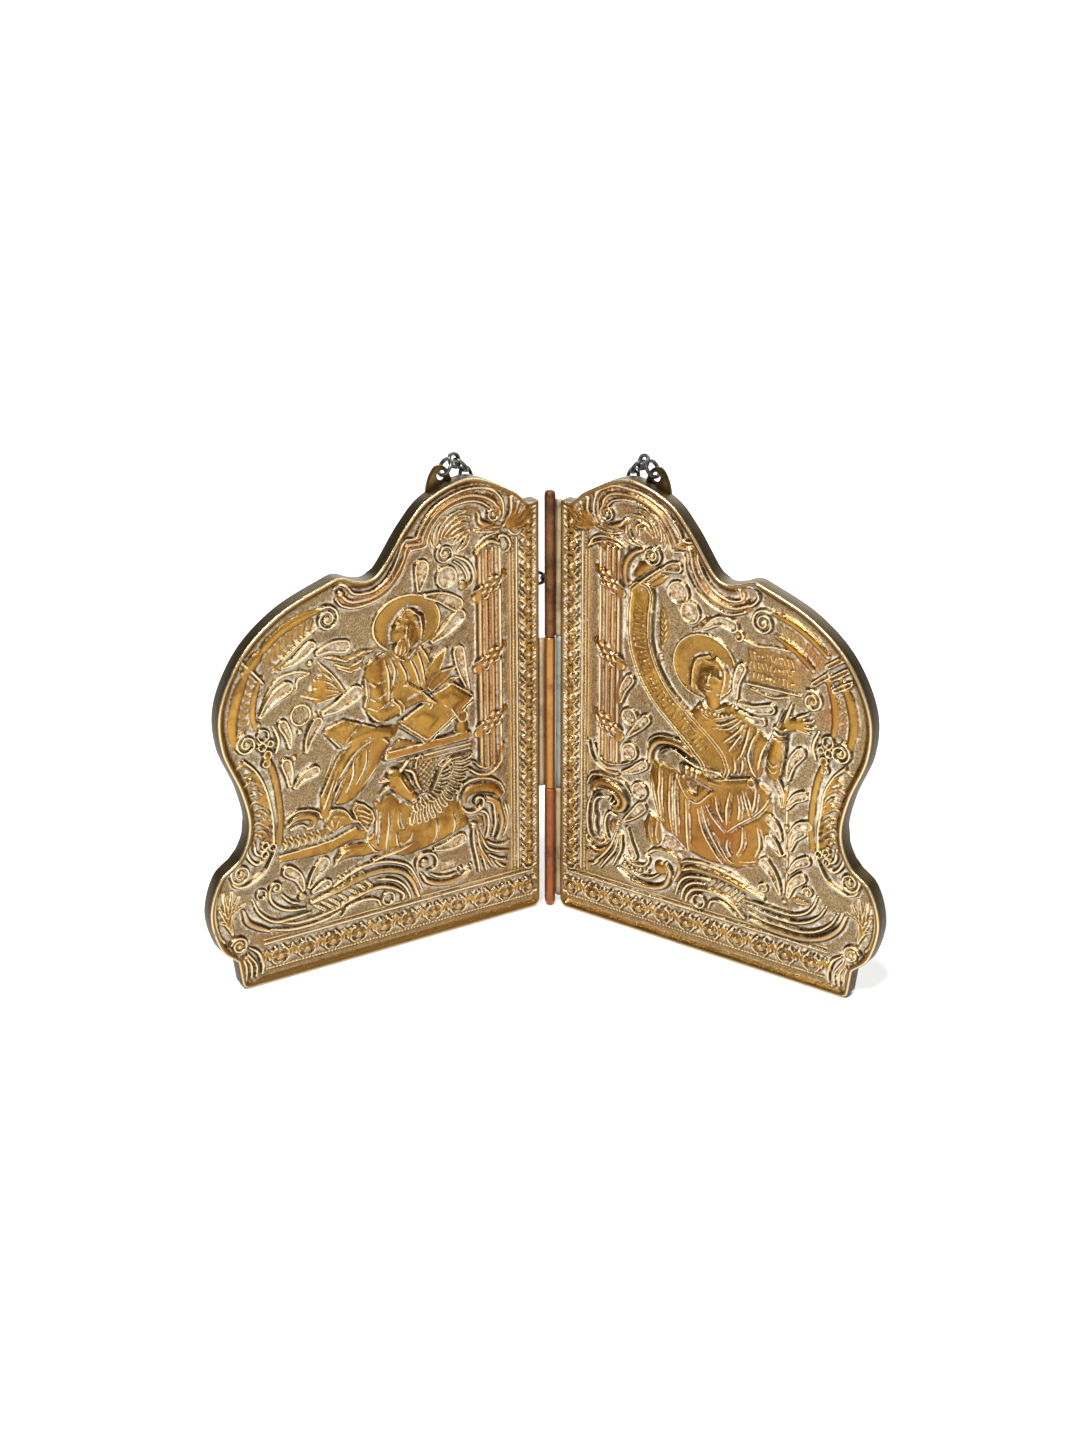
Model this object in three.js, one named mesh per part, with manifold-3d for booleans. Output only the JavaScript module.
// Brass travel icon: two cast leaves with relief on their inner faces, a three-barrel hinge between
// them and a fine chain from lug to lug behind. It stands half open on the lower edges of its leaves.
// Millimetres, +Z up, front towards -Y. Each leaf is drawn flat in (u, v): u runs outward from the
// hinge, v upward, and the third coordinate is the height above the leaf's back.
import * as THREE from 'three';
import { mergeVertices } from 'three/addons/utils/BufferGeometryUtils.js';
import Module from 'manifold-3d';

const wasm = await Module();
wasm.setup();

// Leaf
const OPENING = THREE.MathUtils.degToRad(112.8);
const LEAF_DEPTH = 4;
const GROUND = 2.8;
const RIM_WIDTH = 1.3;
const EDGE_U = 2.7;
const EDGE_TOP = 99.7;
const FOOT_U = 79.3;
const FOOT_TOP = [79.9, 7];
const FOOT_RADIUS = 2.1;
const HINGE_CORNER = 2.3;
const OUTLINE_STEPS = 2;

// Outer contour, from the foot round the lower lobe, the waist, the upper lobe and the arch
const CONTOUR = [
  [83.8, 11.2], [85.7, 19.5], [83.3, 27.5], [78.2, 31.8], [75.6, 38.5], [77, 47], [80.8, 57.5],
  [80.6, 67.5], [75, 78], [66, 85.4], [55, 89.9], [51.6, 90.6], [48.5, 89.4], [45.2, 88.9],
  [42, 90.8], [36, 99], [30, 104.6], [20, 107.4], [10, 103.2], [5.5, 99.6],
];

// Lug
const LUG_DEPTH = 1;
const LUG_HOLE = [25.4, 108.1];
const LUG_HOLE_RADIUS = 1.1;
const LUG_SIDES = 8;

// Hinge
const AXIS_U = 0.4;
const AXIS_LIFT = 0.6;
const AXIS_HEIGHT = LEAF_DEPTH + AXIS_LIFT;
const BARREL_RADIUS = 1.25;
const BORE_RADIUS = 0.85;
const PIN_RADIUS = 0.7;
const BARREL_SIDES = 10;
const BARREL_CAP = 1.2;
const BOTTOM_BARREL = [0.3, 30.2];
const MIDDLE_BARREL = [30.4, 67.5];
const TOP_BARREL = [67.7, 101];
const WEB_START = 0.8;
const WEB_DEPTH = 0.7;
const SOLDER_GAP = 0.1;
const PIN_PLAY = 0.3;

// Chain
const LINK_LENGTH = 5;
const LINK_WIDTH = 3.8;
const WIRE = 0.9;
const LINK_OVERLAP = 0.1;
const LINK_COUNT = 9;
const LINK_SIDES = 6;
const WIRE_SIDES = 4;
const ROUTE_STEPS = 8;
const RING_RADIUS = 1.9;
const RING_LEAN = THREE.MathUtils.degToRad(125);
const CHAIN_LOW = 79.5;
const CHAIN_DROP = 29;
const CHAIN_START_U = 22.6;
const CHAIN_BEHIND = -2.1;

// Relief levels above the ground, and how far each form is sunk into it
const SINK = 0.5;
const HIGH = 1.25;
const MIDDLE = 0.95;
const LOW = 0.65;
const FINE = 0.45;

// Columns: the u of the left side and the v of the foot
const LEFT_COLUMN = [13.5, 39.4];
const RIGHT_COLUMN = [11.6, 43];

// Finishes
const brass = new THREE.MeshStandardMaterial({ color: 0x96733a, roughness: 0.38, metalness: 1 });
const copper = new THREE.MeshStandardMaterial({ color: 0x6b3f24, roughness: 0.45, metalness: 1 });
const steel = new THREE.MeshStandardMaterial({ color: 0x55534f, roughness: 0.45, metalness: 1 });

// Closed solid of a geometry, with shared corners merged and empty triangles left out
function solid(geometry) {
  geometry.deleteAttribute('normal');
  geometry.deleteAttribute('uv');
  const merged = mergeVertices(geometry, 1e-4);
  const index = merged.index.array;
  const triangles = [];
  for (let i = 0; i < index.length; i += 3) {
    const [a, b, c] = [index[i], index[i + 1], index[i + 2]];
    if (a !== b && b !== c && c !== a) triangles.push(a, b, c);
  }
  return new wasm.Manifold(new wasm.Mesh({
    numProp: 3,
    vertProperties: new Float32Array(merged.attributes.position.array),
    triVerts: new Uint32Array(triangles),
  }));
}

// Geometry of a finished solid
function geometryOf(body) {
  const { vertProperties, triVerts, numProp } = body.getMesh();
  const geometry = new THREE.BufferGeometry();
  geometry.setAttribute('position', new THREE.BufferAttribute(vertProperties, numProp));
  geometry.setIndex(new THREE.BufferAttribute(triVerts, 1));
  geometry.computeVertexNormals();
  return geometry;
}

const join = (bodies) => bodies.reduce((whole, body) => whole.add(body));

// Swell of a ridge along its length: even, pointed at both ends, or a drop with its head at the end
const even = () => 1;
const spindle = (t) => 0.2 + 0.8 * Math.sin(Math.PI * t);
const drop = (t) => 0.25 + 0.75 * Math.sin(Math.PI * Math.pow(t, 1.7) * 0.9);
const fading = (t) => 1 - 0.7 * t;

// Ridge along a curve on the ground: a round bar bent along it, sunk to its middle
function ridge(points, halfWidth, height, { steps = 4, sides = 4, swell = even } = {}) {
  const curve = new THREE.CatmullRomCurve3(points.map(([u, v]) => new THREE.Vector3(u, v, 0)));
  const geometry = new THREE.CylinderGeometry(1, 1, 1, sides, steps);
  const position = geometry.attributes.position;
  for (let i = 0; i < position.count; i++) {
    const t = 0.5 - position.getY(i);
    const place = curve.getPointAt(t);
    const along = curve.getTangentAt(t);
    const across = position.getX(i) * halfWidth * swell(t);
    const level = position.getZ(i);
    const rise = level > 0 ? level * height * Math.sqrt(swell(t)) : level * SINK;
    position.setXYZ(i, place.x - along.y * across, place.y + along.x * across, GROUND + rise);
  }
  return solid(geometry);
}

// Rounded boss on the ground, with its long axis turned by an angle in degrees
function boss(u, v, halfU, halfV, height, { angle = 0, sides = 6, rings = 4 } = {}) {
  const geometry = new THREE.SphereGeometry(1, sides, rings);
  geometry.rotateX(Math.PI / 2);
  geometry.scale(halfU, halfV, height);
  geometry.rotateZ(THREE.MathUtils.degToRad(angle));
  geometry.translate(u, v, GROUND);
  return solid(geometry);
}

// Small pointed boss, for beads and rows of eggs
function bead(u, v, halfU, halfV = halfU, height = LOW) {
  const geometry = new THREE.OctahedronGeometry(1);
  geometry.scale(halfU, halfV, height);
  geometry.translate(u, v, GROUND);
  return solid(geometry);
}

// Flat plate on the ground with a straight-sided outline
function plate(points, height) {
  const shape = new THREE.Shape(points.map(([u, v]) => new THREE.Vector2(u, v)));
  const geometry = new THREE.ExtrudeGeometry(shape, { depth: SINK + height, bevelEnabled: false });
  geometry.translate(0, 0, GROUND - SINK);
  return solid(geometry);
}

// Points of a spiral that winds in to its centre; turns below zero wind clockwise
function spiral(u, v, radius, turns, from, steps = 9) {
  const points = [];
  for (let i = 0; i <= steps; i++) {
    const angle = THREE.MathUtils.degToRad(from) + (2 * Math.PI * turns * i) / steps;
    const reach = radius * (1 - (0.85 * i) / steps);
    points.push([u + reach * Math.cos(angle), v + reach * Math.sin(angle)]);
  }
  return points;
}

const volute = (u, v, radius, turns, from) =>
  ridge(spiral(u, v, radius, turns, from), radius * 0.27, MIDDLE, { steps: 6, swell: fading });

// Ridges that spread from a centre like the ribs of a shell
function fan(u, v, near, far, from, to, count, halfWidth, height) {
  const ribs = [];
  for (let i = 0; i < count; i++) {
    const angle = THREE.MathUtils.degToRad(from + ((to - from) * i) / (count - 1));
    const at = (reach) => [u + reach * Math.cos(angle), v + reach * Math.sin(angle)];
    ribs.push(ridge([at(near), at(far)], halfWidth, height, { steps: 2, swell: spindle }));
  }
  return ribs;
}

// Cast leaf blades shaped like drops, from tail to head
const blades = (list, halfWidth) =>
  list.map((points) => ridge(points, halfWidth, LOW, { steps: 2, swell: drop }));

const beads = (list, radius) => list.map(([u, v]) => bead(u, v, radius));

function leafShape() {
  const shape = new THREE.Shape();
  shape.moveTo(EDGE_U + HINGE_CORNER, 0);
  shape.lineTo(FOOT_U - FOOT_RADIUS, 0);
  shape.quadraticCurveTo(FOOT_U, 0, FOOT_U, FOOT_RADIUS);
  shape.lineTo(FOOT_U, FOOT_TOP[1] - 1);
  shape.lineTo(...FOOT_TOP);
  shape.splineThru(CONTOUR.map(([u, v]) => new THREE.Vector2(u, v)));
  shape.lineTo(EDGE_U, EDGE_TOP);
  shape.lineTo(EDGE_U, HINGE_CORNER);
  shape.quadraticCurveTo(EDGE_U, 0, EDGE_U + HINGE_CORNER, 0);
  return shape;
}

// Contour moved inward by a distance, corner by corner
function inset(points, distance) {
  return points.map((point, i) => {
    const before = points[(i + points.length - 1) % points.length];
    const after = points[(i + 1) % points.length];
    const arriving = point.clone().sub(before).normalize();
    const leaving = after.clone().sub(point).normalize();
    const inward = new THREE.Vector2(-arriving.y - leaving.y, arriving.x + leaving.x).normalize();
    const spread = Math.max(0.5, inward.dot(new THREE.Vector2(-arriving.y, arriving.x)));
    return point.clone().addScaledVector(inward, distance / spread);
  });
}

// Plate with a raised rim, and the lug that rises behind the arch
function tray() {
  const outline = leafShape().getPoints(OUTLINE_STEPS);
  if (outline[0].distanceTo(outline[outline.length - 1]) < 1e-6) outline.pop();
  const straight = { depth: LEAF_DEPTH, bevelEnabled: false };
  const body = new THREE.ExtrudeGeometry(new THREE.Shape(outline), straight);
  const hollow = new THREE.ExtrudeGeometry(new THREE.Shape(inset(outline, RIM_WIDTH)), straight);
  hollow.translate(0, 0, GROUND);
  return solid(body).subtract(solid(hollow)).add(lug());
}

function lug() {
  const [u, v] = LUG_HOLE;
  const shape = new THREE.Shape();
  shape.moveTo(u - 3.6, v - 4);
  shape.quadraticCurveTo(u - 2.2, v - 1, u - 1.7, v + 0.9);
  shape.quadraticCurveTo(u - 0.6, v + 2.6, u + 1.3, v + 2.2);
  shape.quadraticCurveTo(u + 3, v + 1, u + 3.8, v - 2.6);
  shape.lineTo(u + 4, v - 4.5);
  const hole = new THREE.Path();
  hole.absarc(u, v, LUG_HOLE_RADIUS, 0, 2 * Math.PI, false);
  shape.holes.push(new THREE.Path(hole.getSpacedPoints(LUG_SIDES).slice(0, LUG_SIDES)));
  return solid(new THREE.ExtrudeGeometry(shape, { depth: LUG_DEPTH, bevelEnabled: false, curveSegments: 3 }));
}

// Rows of eggs and lines along the hinge side and the foot
function borders() {
  const EGG = { u: 5.8, v: 6, pitch: 5.8, reach: 1.9 };
  const parts = [];
  for (let v = 11.8; v < 96; v += EGG.pitch) parts.push(bead(EGG.u, v, 1.6, EGG.reach));
  for (let u = 5.6; u < 71; u += EGG.pitch) parts.push(bead(u, EGG.v, EGG.reach, 1.6));
  parts.push(ridge([[9, 10], [9, 96.5]], 0.5, FINE, { steps: 1 }));
  parts.push(ridge([[8.6, 9.5], [73, 9.5]], 0.45, FINE, { steps: 1 }));
  parts.push(ridge([[6, 2.9], [72.5, 2.9]], 0.5, FINE, { steps: 1 }));
  parts.push(ridge([[73, 2.4], [73.6, 6], [75.2, 9.6]], 0.8, LOW, { steps: 2 }));
  parts.push(ridge([[76.4, 2.6], [76.2, 5], [77.2, 7.6]], 0.9, LOW, { steps: 2 }));
  return parts;
}

// Moulded cornice that follows the arch, steps out and runs into a curl under the shoulder
function cornice() {
  const arch = [[14.2, 102.2], [18.5, 103.9], [22, 104], [27, 102.4], [31, 98.4], [32.6, 94.9]];
  const shoulder = [[36.6, 94.4], [38.4, 89.8], [41.6, 86], [46.4, 84.3], [50.6, 85], [52.4, 87], [50.6, 88]];
  return [
    ridge(arch, 1.2, HIGH, { steps: 6 }),
    ridge([[32.2, 95.2], [36.8, 94]], 0.9, MIDDLE, { steps: 1 }),
    ridge(shoulder, 1.2, HIGH, { steps: 7, swell: (t) => 1 - 0.4 * t }),
    volute(14.6, 98.8, 3.4, 1.4, 95),
    ...fan(25.5, 93.5, 2, 7.4, 62, 165, 5, 0.8, LOW),
    volute(26.4, 91.4, 2.5, -1.3, 40),
    ridge([[19, 96.6], [12, 96.4], [6, 93.6]], 0.8, LOW, { steps: 3, swell: spindle }),
    ridge([[12, 97.4], [9.4, 99], [8, 102]], 0.8, LOW, { steps: 2, swell: drop }),
  ];
}

// Reeded column with three wraps of leaves, its capital and its foot
function column(left, foot) {
  const HEAD = 90.4;
  const REED = { count: 3, pitch: 1.7 };
  const parts = [];
  for (let i = 0; i < REED.count; i++) {
    const u = left + REED.pitch * (i + 0.5);
    parts.push(ridge([[u, foot], [u, HEAD]], 0.8, MIDDLE, { steps: 1 }));
  }
  for (const v of [81, 65, 49.5]) {
    parts.push(ridge([[left - 0.6, v + 1.6], [left + 5.4, v - 1.6]], 1, HIGH, { steps: 2, swell: spindle }));
  }
  const moulding = (v, lift) => {
    const points = [[left - 1.2, v], [left + 1, v + lift], [left + 4, v + lift], [left + 6.2, v]];
    return ridge(points, 0.9, HIGH, { steps: 3 });
  };
  parts.push(moulding(HEAD + 0.4, 2), moulding(foot, -1.8));
  return parts;
}

// Bands and curls inside the upper lobe, the waist and the lower lobe
function lobes() {
  const band = [[55.5, 84.4], [61, 83], [67, 79.6], [72, 74.4], [75.2, 68], [76.2, 61], [75.4, 59.4]];
  const parts = [
    ridge(band, 1.2, MIDDLE, { steps: 5 }),
    volute(54.4, 82, 2.7, 1.3, 80),
    volute(74.3, 57.2, 2.4, -1.3, 60),
    volute(77.7, 27.8, 2.5, 1.3, -60),
    volute(79, 10.8, 1.8, 1.2, 90),
    ridge([[69.4, 54], [68.2, 48], [68.2, 42], [69, 35.6]], 0.8, LOW, { steps: 3 }),
    ridge([[69.4, 73.2], [72.6, 76.4]], 0.8, HIGH, { steps: 1 }),
    ridge([[69.5, 32.4], [72.5, 27], [77, 24.6], [80.6, 26.6]], 0.8, MIDDLE, { steps: 4 }),
    ...fan(76.5, 18.5, 3, 7, -45, 45, 3, 0.9, LOW),
  ];
  for (let v = 36.6; v < 53; v += 4) {
    parts.push(ridge([[70, v - 1], [72.2, v + 1], [74.9, v + 1.2]], 0.75, LOW, { steps: 2, swell: drop }));
  }
  return parts;
}

// Long scrolls above the foot and the shell-work in the lower corner by the hinge
function footScrolls() {
  const crest = [[34.2, 11.4], [35.6, 15.6], [39.4, 19.2], [46, 20.2], [53, 19.4], [59, 17.9]];
  const cup = [[18.6, 15], [23, 12.4], [28.4, 12.2], [32.6, 15.2], [31.8, 19], [28.6, 19.4]];
  return [
    ridge(crest, 0.9, HIGH, { steps: 6 }),
    ridge([[39, 11.6], [40.6, 14.9], [45, 16.3], [50, 14.9], [52.6, 11.6]], 0.8, MIDDLE, { steps: 5 }),
    ridge([[53.4, 12.6], [60, 11.3], [67, 11.9], [72.6, 14.9], [76, 19.6]], 0.9, HIGH, { steps: 5 }),
    ridge([[56, 15.6], [63, 15], [68.4, 16.8], [71.4, 22]], 0.8, MIDDLE, { steps: 4 }),
    volute(41.4, 12.4, 1.7, -1.1, 180),
    ridge([[13.5, 21], [11.6, 24.5], [12.2, 29.5], [15.4, 32.6], [19, 31.6]], 1.1, HIGH, { steps: 5 }),
    volute(17.6, 30.6, 2.8, -1.3, 60),
    ridge([[11, 34.8], [16, 36], [21.4, 33.4]], 0.8, LOW, { steps: 3, swell: spindle }),
    ...fan(19.4, 24.6, 1.5, 10.5, 195, 262, 5, 0.95, MIDDLE),
    ridge(cup, 0.9, HIGH, { steps: 6 }),
  ];
}

// Head on its round halo; the face is left to a smooth oval
function haloedHead(u, v, halfU, halfV) {
  const HALO_SIDES = 12;
  const disc = new THREE.CylinderGeometry(1, 1, SINK + LOW, HALO_SIDES);
  disc.rotateX(Math.PI / 2);
  disc.scale(halfU, halfV, 1);
  disc.translate(u, v, GROUND + (LOW - SINK) / 2);
  return [solid(disc), boss(u, v - 0.6, 3.3, 4, HIGH + 0.15, { sides: 8 })];
}

// Folds of a robe, one ridge from each shoulder point to its hem point
const folds = (list, halfWidth) =>
  list.map((points) => ridge(points, halfWidth, HIGH, { steps: 2, swell: spindle }));

// Left leaf: a bearded writer with an open book, and a winged ox under the desk
function writer() {
  return [
    ...haloedHead(36.2, 77, 8, 6.7),
    boss(35.6, 72.4, 2.3, 2.6, HIGH),
    boss(38.5, 63.4, 8.6, 8, MIDDLE, { sides: 7 }),
    ridge([[45, 69.4], [45.6, 62], [43.6, 56.4]], 2.6, HIGH, { steps: 3 }),
    ridge([[44, 56.6], [38, 57.6], [31.4, 60.4]], 1.7, HIGH, { steps: 3 }),
    plate([[38.4, 55.2], [32.6, 57], [27, 53.4], [31.6, 49.8]], MIDDLE),
    plate([[30, 59], [24.5, 60.4], [20.3, 56.8], [26.4, 53.6]], MIDDLE),
    plate([[42.4, 48.6], [21, 48.6], [21, 46], [42.4, 46]], MIDDLE),
    boss(22.7, 51.2, 2, 1.6, LOW),
    boss(49.5, 47.5, 6, 9, LOW, { angle: 14 }),
    ...folds([
      [[45, 53], [47, 44], [47.6, 35.4]],
      [[49, 53.4], [51.6, 44], [52, 35]],
      [[51.8, 52], [55, 43], [56.6, 34.4]],
      [[35.4, 69.6], [34.4, 64.5], [37, 60]],
      [[40, 70], [39.6, 64.5], [41, 59.6]],
    ], 1.1),
    ridge([[43.6, 70.4], [50, 73], [56.8, 71]], 1.5, LOW, { steps: 3, swell: spindle }),
    ridge([[51, 65], [55.6, 69.4], [62, 66.4]], 1.5, LOW, { steps: 3, swell: spindle }),
    ridge([[59, 37.4], [63, 38.8], [66.6, 36.4]], 1.1, LOW, { steps: 2 }),
    ridge([[54.4, 30.2], [69, 30.2]], 0.8, LOW, { steps: 1 }),
    boss(32, 29.4, 11.4, 6, MIDDLE, { sides: 8 }),
    boss(37.5, 38.4, 3.2, 4.6, HIGH, { angle: 10 }),
    ridge([[35.6, 42], [35.8, 44.6], [38, 46]], 0.7, LOW, { steps: 2, swell: fading }),
    ridge([[39.6, 42], [41.2, 43.6], [41, 45.8]], 0.7, LOW, { steps: 2, swell: fading }),
    ridge([[40.4, 39], [44, 39.4]], 1, LOW, { steps: 2, swell: spindle }),
    ...fan(33.4, 30.4, 2.5, 13, 98, 160, 5, 1.1, HIGH),
    ridge([[42, 29.4], [49, 28.6], [55.6, 26.6]], 1.3, MIDDLE, { steps: 3 }),
    ridge([[41.4, 25.6], [48, 24.6], [53, 23.6]], 1.2, MIDDLE, { steps: 2 }),
    ...blades([
      [[66, 73], [62.6, 75.6], [58.5, 76.8]],
      [[57.6, 74.8], [54, 76.2], [50.5, 74.8]],
      [[71.5, 63.5], [65, 66.4], [61, 71.2]],
      [[57, 60.5], [52.4, 61], [48.4, 64]],
      [[64.8, 54.5], [66.6, 57.4], [66.3, 60.3]],
      [[61.3, 52.5], [59, 55.6], [58, 59.2]],
      [[65.3, 46], [66.6, 48.6], [66, 51.2]],
      [[33.8, 84.4], [32.6, 87.6], [31.8, 91]],
      [[30.4, 82.4], [26, 82], [22, 79.4]],
      [[30, 72], [25.4, 74], [21.5, 77.5]],
      [[24, 69.6], [22, 64], [21, 59]],
      [[64, 20], [66.4, 22.6], [67, 25.6]],
      [[63, 20.4], [64.4, 23.4], [64.3, 26.4]],
      [[62.4, 20], [59.6, 22.6], [58.3, 25.5]],
    ], 1.3),
    boss(26, 85.7, 2.5, 2.5, LOW),
    boss(62, 61.4, 2.2, 2.2, FINE),
    ...beads([[63.7, 18.5], [67, 72.6], [72, 61.3], [62.4, 57.6], [64, 51.8]], 0.9),
  ];
}

// Right leaf: a youth with a long inscribed scroll, a raised hand and a flowering stem
function scrollBearer() {
  const scroll = [[25, 82], [24.4, 75], [26.2, 68], [30.4, 61], [36, 54.6], [43.4, 48.2]];
  const stem = { u: 62, foot: 18.6, top: 55, pairs: 5, pitch: 7, reach: 4.4 };
  const parts = [
    ...haloedHead(40.4, 68.6, 8.4, 7.2),
    boss(45.5, 54, 9.4, 7.6, MIDDLE, { sides: 7, angle: -12 }),
    boss(43, 31, 12, 11, LOW, { sides: 8, angle: 8 }),
    ridge(scroll, 3.3, MIDDLE, { steps: 5, sides: 6 }),
    ridge([[20.6, 83.6], [20, 88], [23, 91.2], [27, 90.6]], 1.1, MIDDLE, { steps: 3, swell: spindle }),
    ridge([[22, 84], [25, 86.4], [28.6, 88.6]], 1.7, HIGH, { steps: 2 }),
    ridge([[27.4, 44.6], [30.6, 48.4], [36, 48.2], [39, 45.4]], 1.5, HIGH, { steps: 4 }),
    ridge([[37, 44.4], [45, 43.8], [53.6, 45]], 1.7, HIGH, { steps: 3 }),
    ridge([[53.6, 57.6], [56.6, 51], [58.6, 55.4], [61.4, 61]], 1.9, HIGH, { steps: 5 }),
    boss(63, 62, 2.6, 1.9, HIGH, { angle: 25 }),
    ridge([[60.4, 62], [61, 64], [62.2, 65.6]], 0.6, MIDDLE, { steps: 2 }),
    ...folds([
      [[31.4, 42.6], [31.6, 34], [33.4, 26.4]],
      [[35.6, 41], [36.4, 33], [37.6, 24.4]],
      [[40.6, 38.6], [43, 31], [47.4, 23.6]],
      [[44, 38], [49.6, 31.4], [54, 26]],
      [[57, 43], [53.6, 36.6], [48, 31.8]],
      [[46, 58.4], [44.6, 55.6], [39, 55]],
      [[50.6, 58.6], [49, 54], [45.4, 51.6]],
    ], 1),
    boss(33.4, 84.3, 2.5, 2.4, LOW),
    boss(36.4, 80.4, 2.3, 2.2, LOW),
    ridge([[35.6, 77.2], [42, 79.6], [49, 78]], 1.5, LOW, { steps: 3, swell: spindle }),
    volute(66.7, 67.2, 2.4, 1.2, 90),
    ridge([[52, 68], [63, 68]], 0.5, FINE, { steps: 1 }),
    ...blades([
      [[48, 62.4], [48.4, 66], [50, 70.4]],
      [[49, 62.6], [53, 63.6], [57.4, 63]],
      [[18.6, 55.4], [20, 58.6], [21.8, 61.6]],
      [[20.6, 48], [24, 50], [26.2, 53]],
      [[19.6, 38], [23, 39.4], [25.4, 42]],
      [[19.8, 26.6], [23.4, 28.4], [25, 31.6]],
      [[21, 25], [23.4, 22.4], [23, 18.8]],
    ], 1.3),
    ...beads([[47.7, 61.2], [18.1, 53.6], [18.6, 46.4], [17.7, 37.6], [18.3, 25.4], [62, 36.4]], 0.9),
    boss(21, 52.2, 1.9, 1.9, LOW),
    boss(21.4, 43.9, 1.9, 1.9, LOW),
    boss(24, 35.2, 1.8, 1.8, LOW),
    ridge([[stem.u, stem.foot], [stem.u, stem.top]], 0.6, LOW, { steps: 1 }),
  ];
  for (let row = 70.4; row < 77; row += 2.6) {
    parts.push(ridge([[52.4, row], [62.6, row + 0.2]], 0.45, FINE, { steps: 1 }));
  }
  for (let i = 0; i < stem.pairs; i++) {
    const v = stem.foot + 1 + i * stem.pitch;
    for (const side of [-1, 1]) {
      const tip = [stem.u + side * stem.reach, v + 5.6];
      const bend = [stem.u + side * stem.reach * 0.7, v + 2.2];
      parts.push(...blades([[[stem.u, v], bend, tip]], 1.2));
    }
  }
  return parts;
}

// Finished leaf: tray, ornament that both leaves share, the column and the leaf's own figures
function leaf(columnPlace, figures) {
  const ornament = [borders(), cornice(), column(...columnPlace), lobes(), footScrolls(), figures];
  return geometryOf(join([tray(), ...ornament.flat()]));
}

// Hinge barrel between two heights with the strip that joins it to its leaf; a cap below zero closes
// and rounds its lower end, a cap above zero its upper end
function barrel([bottom, top], cap) {
  const length = top - bottom;
  const tube = [[BARREL_RADIUS, length], [BORE_RADIUS, length]];
  const capped = [
    [0, 0], [BARREL_RADIUS * 0.8, BARREL_CAP * 0.3], [BARREL_RADIUS, BARREL_CAP], ...tube,
    [BORE_RADIUS, BARREL_CAP], [0, BARREL_CAP],
  ];
  const plain = [[BARREL_RADIUS, 0], ...tube, [BORE_RADIUS, 0], [BARREL_RADIUS, 0]];
  const profile = (cap === 0 ? plain : capped).map(([r, z]) => new THREE.Vector2(r, z));
  const round = new THREE.LatheGeometry(profile, BARREL_SIDES);
  round.rotateX(Math.PI / 2);
  if (cap > 0) {
    round.rotateX(Math.PI);
    round.translate(0, 0, length);
  }
  round.translate(0, 0, bottom);
  const reach = EDGE_U - AXIS_U - SOLDER_GAP;
  const strip = new THREE.BoxGeometry(reach - WEB_START, WEB_DEPTH, length - 2 * BARREL_CAP);
  strip.translate((reach + WEB_START) / 2, AXIS_LIFT + WEB_DEPTH / 2, (bottom + top) / 2);
  return geometryOf(solid(round).add(solid(strip)));
}

function pin() {
  const length = TOP_BARREL[1] - BOTTOM_BARREL[0] - 2 * BARREL_CAP - 2 * PIN_PLAY;
  const geometry = new THREE.CylinderGeometry(PIN_RADIUS, PIN_RADIUS, length, BARREL_SIDES);
  geometry.rotateX(Math.PI / 2);
  geometry.translate(0, 0, (TOP_BARREL[1] + BOTTOM_BARREL[0]) / 2);
  return geometryOf(solid(geometry));
}

// Long link of round wire, lying along x
function link() {
  const halfWidth = (LINK_WIDTH - WIRE) / 2;
  const stretch = (LINK_LENGTH - LINK_WIDTH) / 2;
  const geometry = new THREE.TorusGeometry(halfWidth, WIRE / 2, WIRE_SIDES, LINK_SIDES);
  const position = geometry.attributes.position;
  for (let i = 0; i < position.count; i++) {
    const x = position.getX(i);
    if (Math.abs(x) > WIRE / 2) position.setX(i, x + Math.sign(x) * stretch);
  }
  return geometry;
}

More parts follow.
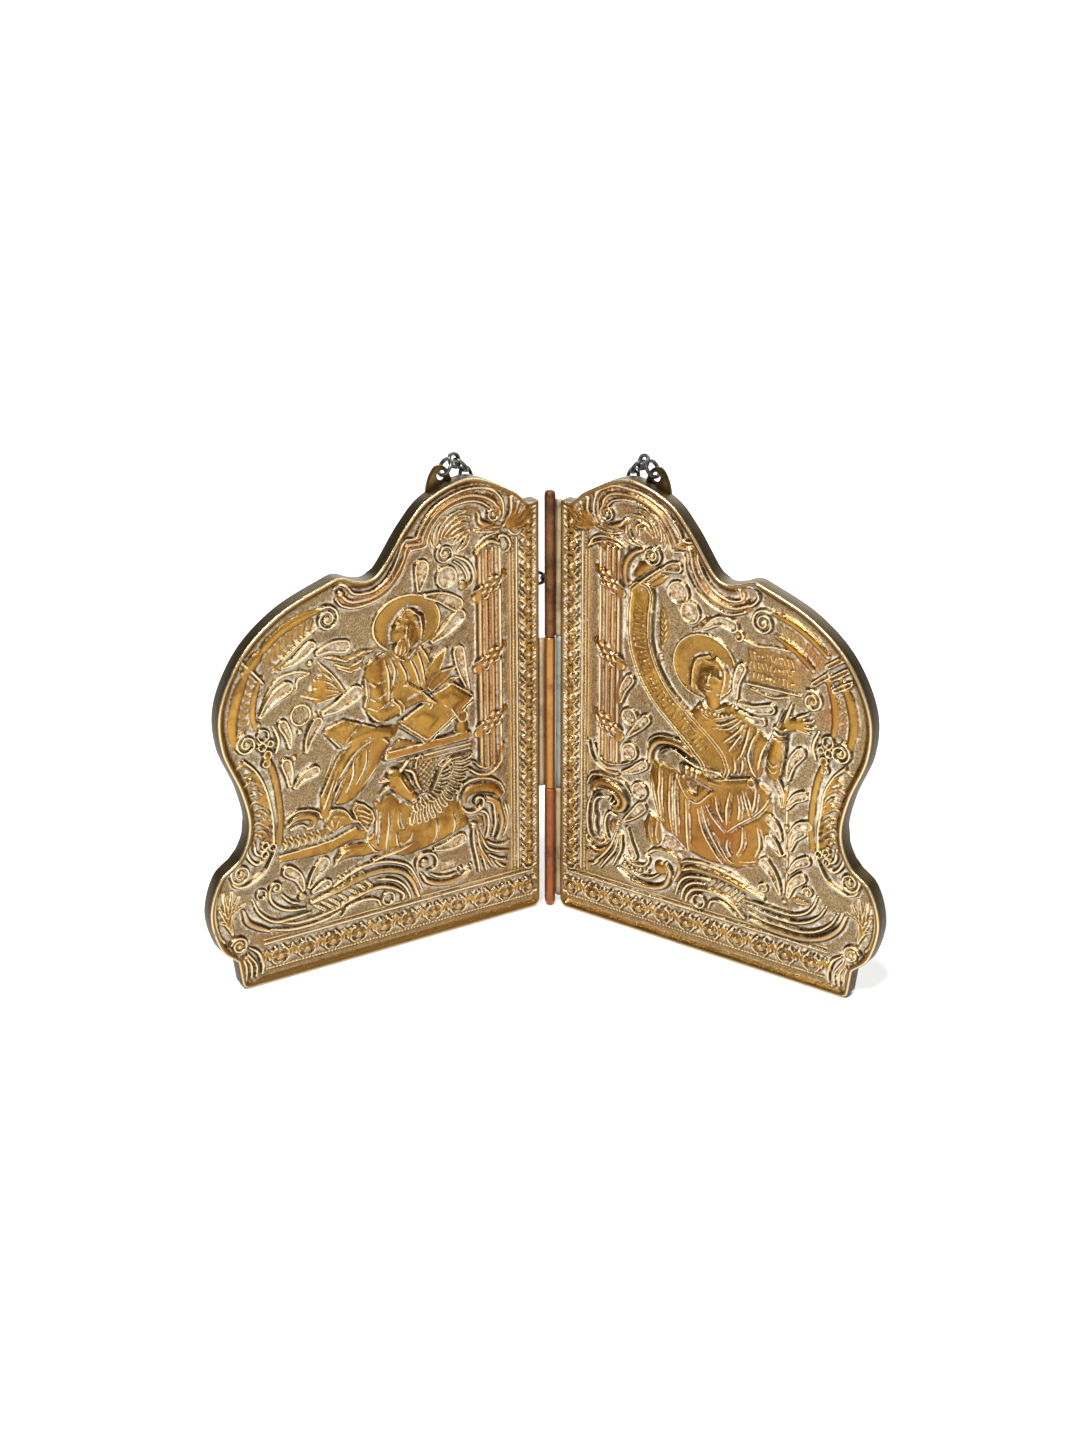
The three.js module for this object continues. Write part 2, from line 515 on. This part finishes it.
// Ring through the lug, and the half of the chain that hangs from it behind the leaf
function chain() {
  const [holeU, holeV] = LUG_HOLE;
  const lean = new THREE.Vector3(Math.cos(RING_LEAN), Math.sin(RING_LEAN), 0);
  const centre = new THREE.Vector3(holeU, holeV, LUG_DEPTH / 2).addScaledVector(lean, RING_RADIUS);
  const ring = new THREE.TorusGeometry(RING_RADIUS, WIRE / 2, WIRE_SIDES, LINK_SIDES);
  ring.rotateX(Math.PI / 2);
  ring.rotateZ(RING_LEAN);
  ring.translate(centre.x, centre.y, centre.z);
  const route = [centre];
  for (let i = 0; i <= ROUTE_STEPS; i++) {
    const share = 1 - i / ROUTE_STEPS;
    const u = AXIS_U + (CHAIN_START_U - AXIS_U) * share;
    route.push(new THREE.Vector3(u, CHAIN_LOW + CHAIN_DROP * share * share, CHAIN_BEHIND));
  }
  const path = new THREE.CatmullRomCurve3(route);
  const pitch = LINK_LENGTH - 2 * WIRE + LINK_OVERLAP;
  const first = RING_RADIUS + LINK_LENGTH / 2 - 1.5 * WIRE + LINK_OVERLAP;
  const links = [solid(ring)];
  for (let i = 0; i < LINK_COUNT; i++) {
    const t = (first + i * pitch) / path.getLength();
    const along = path.getTangentAt(t);
    const away = new THREE.Vector3(0, 0, 1);
    const across = away.clone().cross(along).normalize();
    const basis = new THREE.Matrix4().makeBasis(along, across, along.clone().cross(across));
    const geometry = link();
    geometry.rotateX(i % 2 === 0 ? Math.PI / 4 : -Math.PI / 4);
    geometry.applyMatrix4(basis.setPosition(path.getPointAt(t)));
    links.push(solid(geometry));
  }
  return geometryOf(join(links));
}

function mesh(name, geometry, material) {
  const piece = new THREE.Mesh(geometry, material);
  piece.name = name;
  return piece;
}

// Pieces drawn flat in (u, v), stood upright so that the hinge axis is the z axis of their group
function upright(piece) {
  piece.rotation.x = Math.PI / 2;
  piece.position.set(-AXIS_U, AXIS_HEIGHT, 0);
  return piece;
}

const turn = Math.PI / 2 - OPENING / 2;
const rightSide = new THREE.Group();
rightSide.rotation.z = -turn;
rightSide.add(
  upright(mesh('right_leaf', leaf(RIGHT_COLUMN, scrollBearer()), brass)),
  upright(mesh('chain_right', chain(), steel)),
  mesh('right_knuckle_top', barrel(TOP_BARREL, 1), copper),
  mesh('right_knuckle_bottom', barrel(BOTTOM_BARREL, -1), copper),
  mesh('hinge_pin', pin(), steel),
);

const leftSide = new THREE.Group();
leftSide.rotation.z = turn;
leftSide.scale.x = -1;
leftSide.add(
  upright(mesh('left_leaf', leaf(LEFT_COLUMN, writer()), brass)),
  upright(mesh('chain_left', chain(), steel)),
  mesh('left_knuckle', barrel(MIDDLE_BARREL, 0), brass),
);

// Origin on the ground under the middle of the whole object
const icon = new THREE.Group();
icon.add(leftSide, rightSide);
const box = new THREE.Box3().setFromObject(icon, true);
icon.position.set(-(box.min.x + box.max.x) / 2, -(box.min.y + box.max.y) / 2, -box.min.z);
icon.updateMatrixWorld(true);

export default icon;
